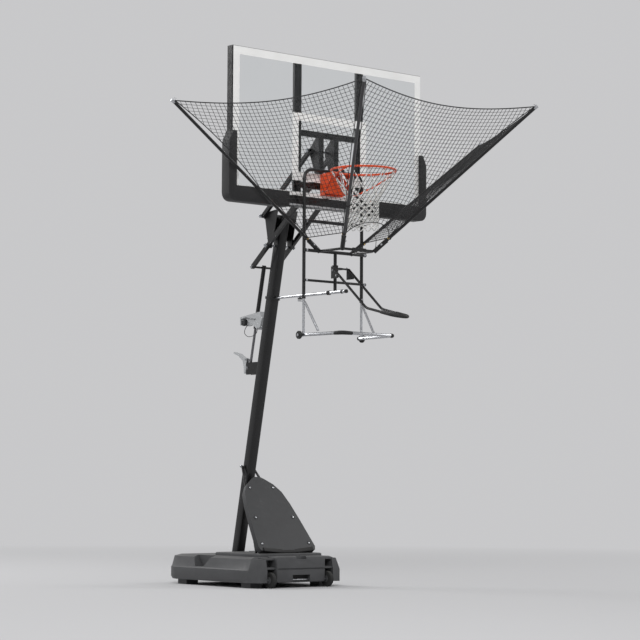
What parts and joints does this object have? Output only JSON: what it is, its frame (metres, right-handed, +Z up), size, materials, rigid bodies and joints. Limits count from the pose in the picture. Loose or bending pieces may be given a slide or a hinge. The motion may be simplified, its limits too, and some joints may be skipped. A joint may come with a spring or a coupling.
{
  "type": "basketball shooting machine",
  "caption": "Net fan on four arms that hangs under a basketball rim and returns shots down a swivelling chute, on a height-adjusting hoop with weighted base.",
  "frame": {"origin": "on the floor, in the middle of the footprint's bounding box, 34 mm behind the board's front face", "axes": "+Z up; -Y is the way the board, the rim and the net fan face; +X is the player's right when facing the board"},
  "size_m": [3.0196, 2.7582, 3.912],
  "materials": {
    "steel_black": "semi-gloss black powder coat",
    "steel_bright": "zinc-plated, satin",
    "steel_red": "orange-red powder coat",
    "poly_grey": "moulded dark grey polyethylene",
    "poly_light": "light grey moulded plastic",
    "pane": "clear acrylic, smooth",
    "pad": "black foam pad, matte",
    "tyre": "black rubber, matte",
    "cord_white": "white nylon cord",
    "cord_black": "black polyester net",
    "cable": "dark sheathed cable"
  },
  "bodies": {
    "base": {"base_tank": "poly_grey", "wheel_axle": "steel_bright", "pole_lower": "steel_black", "pole_middle": "steel_black", "pole_upper": "steel_black", "pole_strut_left": "steel_black", "pole_strut_right": "steel_black", "front_cover": "poly_grey", "pole_top_bracket": "steel_black", "actuator_bracket": "steel_black", "pole_clamp": "steel_black", "pole_pin_upper": "steel_bright", "pole_pin_lower": "steel_bright"},
    "fill_cap": {"fill_cap": "poly_grey"},
    "wheel_left": {"wheel_left": "tyre"},
    "wheel_right": {"wheel_right": "tyre"},
    "lower_arms": {"lower_arm_left": "steel_black", "lower_arm_right": "steel_black"},
    "upper_arms": {"upper_arm_left": "steel_black", "upper_arm_right": "steel_black"},
    "actuator_tube": {"actuator_tube": "steel_black", "actuator_housing": "poly_light", "lock_tether": "cable"},
    "lock_knob": {"lock_knob": "poly_grey"},
    "actuator_rod": {"actuator_rod": "steel_bright", "actuator_pivot_pin": "steel_bright"},
    "trigger": {"trigger_lever": "poly_light"},
    "board": {"board_pane": "pane", "board_frame": "steel_black", "carriage_frame": "steel_black", "board_pin_upper": "steel_bright", "board_pin_lower": "steel_bright", "pad_left": "pad", "pad_right": "pad", "rim_mount": "steel_red", "rim_hinge_pin": "steel_bright", "rim_spring": "steel_bright", "main_frame": "steel_black", "upper_cross_bar": "steel_black", "swivel_post": "steel_black", "ring_frame": "steel_black", "net_arm_left_back": "steel_black", "net_arm_left_front": "steel_black", "net_arm_right_front": "steel_black", "net_arm_right_back": "steel_black", "net_panel_left": "cord_black", "net_panel_front": "cord_black", "net_panel_right": "cord_black", "stand_frame": "steel_bright", "stand_strut_left": "steel_bright", "stand_strut_right": "steel_bright", "brace_tube": "steel_bright"},
    "rim": {"rim": "steel_red", "rim_net": "cord_white"},
    "chute": {"chute_rails": "steel_black", "chute_plate": "steel_black"},
    "stand_wheel_left": {"stand_wheel_left": "poly_grey"},
    "stand_wheel_right": {"stand_wheel_right": "poly_grey"},
    "brace_rod": {"brace_rod": "steel_bright"},
    "brace_knob": {"brace_knob": "poly_grey"}
  },
  "joints": [
    {"name": "height_lift", "type": "hinge", "parent": "base", "child": "lower_arms", "pos_m": [0, 0.55214, 2.568], "axis": [1, 0, 0], "range_deg": [0, 60]},
    {"name": "upper_arms_swing", "type": "hinge", "parent": "base", "child": "upper_arms", "pos_m": [0, 0.61514, 2.797], "axis": [1, 0, 0], "range_deg": [0, 60]},
    {"name": "board_level", "type": "hinge", "parent": "lower_arms", "child": "board", "pos_m": [0, 0.00214, 3.008], "axis": [1, 0, 0], "range_deg": [-60, 0]},
    {"name": "actuator_swing", "type": "hinge", "parent": "lower_arms", "child": "actuator_tube", "pos_m": [0, 0.73955, 2.41807], "axis": [1, 0, 0], "range_deg": [-65, 0]},
    {"name": "rod_extend", "type": "slide", "parent": "actuator_tube", "child": "actuator_rod", "axis": [0, 0.2085, -0.978], "range_m": [0, 0.2285]},
    {"name": "trigger_squeeze", "type": "hinge", "parent": "actuator_rod", "child": "trigger", "pos_m": [0, 0.94214, 1.722], "axis": [1, 0, 0], "range_deg": [0, 18], "stiffness_Nm_per_rad": 2, "springref_deg": -22.92},
    {"name": "lock_knob_turn", "type": "hinge", "parent": "actuator_tube", "child": "lock_knob", "pos_m": [-0.013, 0.94614, 2.007], "axis": [1, 0, 0], "continuous": true},
    {"name": "rim_breakaway", "type": "hinge", "parent": "board", "child": "rim", "pos_m": [0, -0.06386, 2.922], "axis": [1, 0, 0], "range_deg": [0, 15], "stiffness_Nm_per_rad": 90, "springref_deg": -20.05},
    {"name": "chute_swivel", "type": "hinge", "parent": "board", "child": "chute", "pos_m": [0, -0.10326, 2.325], "axis": [0, 0, 1], "range_deg": [-60, 60]},
    {"name": "brace_slide", "type": "slide", "parent": "board", "child": "brace_rod", "axis": [0, -1, 0], "range_m": [0, 0.12]},
    {"name": "brace_knob_turn", "type": "hinge", "parent": "board", "child": "brace_knob", "pos_m": [0, 0.30114, 2.1772], "axis": [0, 0, 1], "continuous": true},
    {"name": "stand_wheel_left_spin", "type": "hinge", "parent": "board", "child": "stand_wheel_left", "pos_m": [-0.279, -0.05836, 1.85], "axis": [1, 0, 0], "continuous": true},
    {"name": "stand_wheel_right_spin", "type": "hinge", "parent": "board", "child": "stand_wheel_right", "pos_m": [0.279, -0.05836, 1.85], "axis": [1, 0, 0], "continuous": true},
    {"name": "wheel_left_spin", "type": "hinge", "parent": "base", "child": "wheel_left", "pos_m": [-0.274, 0.29114, 0.0586], "axis": [1, 0, 0], "continuous": true},
    {"name": "wheel_right_spin", "type": "hinge", "parent": "base", "child": "wheel_right", "pos_m": [0.274, 0.29114, 0.0586], "axis": [1, 0, 0], "continuous": true},
    {"name": "fill_cap_turn", "type": "hinge", "parent": "base", "child": "fill_cap", "pos_m": [0.24, 1.16614, 0.226], "axis": [0, 0, 1], "continuous": true}
  ],
  "couplings": [
    {"joint": "upper_arms_swing", "follows": "height_lift", "ratio": 1},
    {"joint": "board_level", "follows": "height_lift", "ratio": -1},
    {"joint": "actuator_swing", "follows": "height_lift", "ratio": -1.0808},
    {"joint": "rod_extend", "follows": "height_lift", "m_per_rad": 0.21783}
  ]
}
